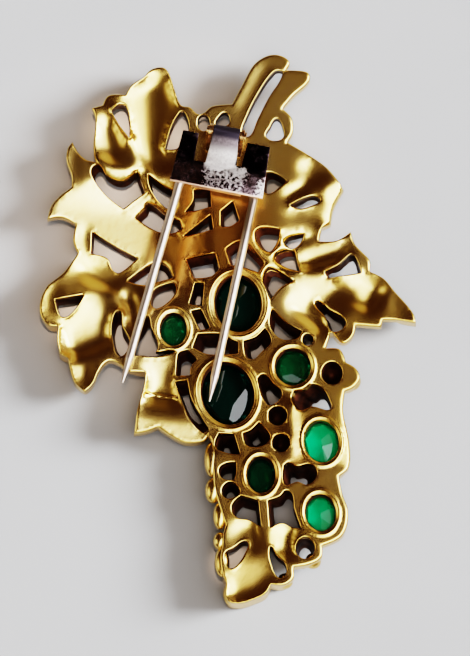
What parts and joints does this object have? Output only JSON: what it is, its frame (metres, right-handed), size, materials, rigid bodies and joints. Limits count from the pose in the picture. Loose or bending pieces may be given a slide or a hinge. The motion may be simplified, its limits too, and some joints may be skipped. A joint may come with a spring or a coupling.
{
  "type": "fur clip",
  "caption": "Pierced vine-leaf and grape-bunch casting set with oval cut stones, with a hinged, sprung two-prong clip on its back.",
  "frame": {"origin": "middle of the part's outline from above, on the surface that its front rests on", "axes": "+Z away from the front, out of the back; +Y towards the stem, along the longest side; +X to the right with the back up"},
  "size_m": [0.0527, 0.0782, 0.0086],
  "materials": {
    "gilt_metal": "polished gilt",
    "dark_green_glass": "faceted",
    "bright_green_glass": "faceted",
    "plated_sheet": "worn rhodium plate",
    "steel_wire": "polished"
  },
  "bodies": {
    "brooch": {"casting": "gilt_metal", "stone_1": "dark_green_glass", "stone_2": "dark_green_glass", "stone_3": "dark_green_glass", "stone_4": "dark_green_glass", "stone_5": "bright_green_glass", "stone_6": "dark_green_glass", "stone_7": "bright_green_glass", "hinge_base": "plated_sheet", "hinge_pin": "steel_wire"},
    "prongs": {"clip_plate": "plated_sheet", "prong_fork": "steel_wire"}
  },
  "joints": [
    {"name": "prong_hinge", "type": "hinge", "parent": "brooch", "child": "prongs", "pos_m": [0.00002, 0.02718, 0.0076], "axis": [-0.9799, 0.1994, 0], "range_deg": [0, 78], "stiffness_Nm_per_rad": 0.02, "springref_deg": -11.46}
  ]
}
